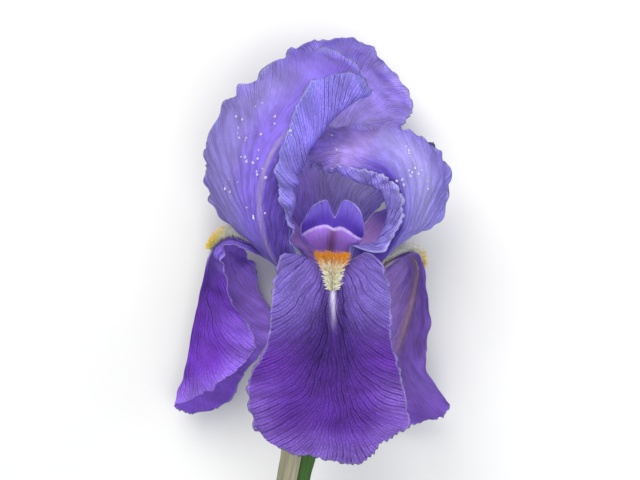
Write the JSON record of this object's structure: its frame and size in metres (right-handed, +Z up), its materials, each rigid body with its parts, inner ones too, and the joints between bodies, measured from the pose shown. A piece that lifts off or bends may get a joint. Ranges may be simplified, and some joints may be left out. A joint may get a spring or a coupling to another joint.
{
  "type": "bearded iris flower",
  "caption": "Bearded iris flower on a short cut stem: ruffled standards curl over the style arms and bearded falls hang below.",
  "frame": {"origin": "middle of the flower's box in plan, on the surface that the flower lies on", "axes": "+Z up out of the surface; +Y from the cut end of the stem towards the top of the standards; +X to the right seen from above with the standards away from the viewer; the front fall faces up"},
  "size_m": [0.0982, 0.1956, 0.0773],
  "materials": {
    "fall": "soft velvety violet petal with dark forking veins",
    "standard": "thin lavender blue petal with fine fanning veins and pale ruffled margin",
    "beard": "short fleshy hairs, orange to yellow with white tips",
    "style": "satin pinkish violet petal with a pale midline",
    "stamen": "dry cream pollen",
    "tube": "smooth waxy green flushed with purple",
    "ovary": "smooth waxy green",
    "stem": "smooth waxy green stalk with fine length lines",
    "spathe_green": "thin green bract with length veins",
    "spathe_papery": "dry papery straw-coloured bract"
  },
  "bodies": {
    "root": {"fall_front": "fall", "fall_left": "fall", "fall_right": "fall", "beard_front": "beard", "beard_left": "beard", "beard_right": "beard", "standard_left": "standard", "standard_right": "standard", "standard_back": "standard", "style_arm_front": "style", "style_arm_left": "style", "style_arm_right": "style", "style_column": "style", "filament_front": "stamen", "filament_left": "stamen", "filament_right": "stamen", "anther_front": "stamen", "anther_left": "stamen", "anther_right": "stamen", "perianth_tube": "tube", "ovary": "ovary", "stem": "stem", "spathe_inner": "spathe_green", "spathe_outer": "spathe_papery"}
  },
  "joints": []
}
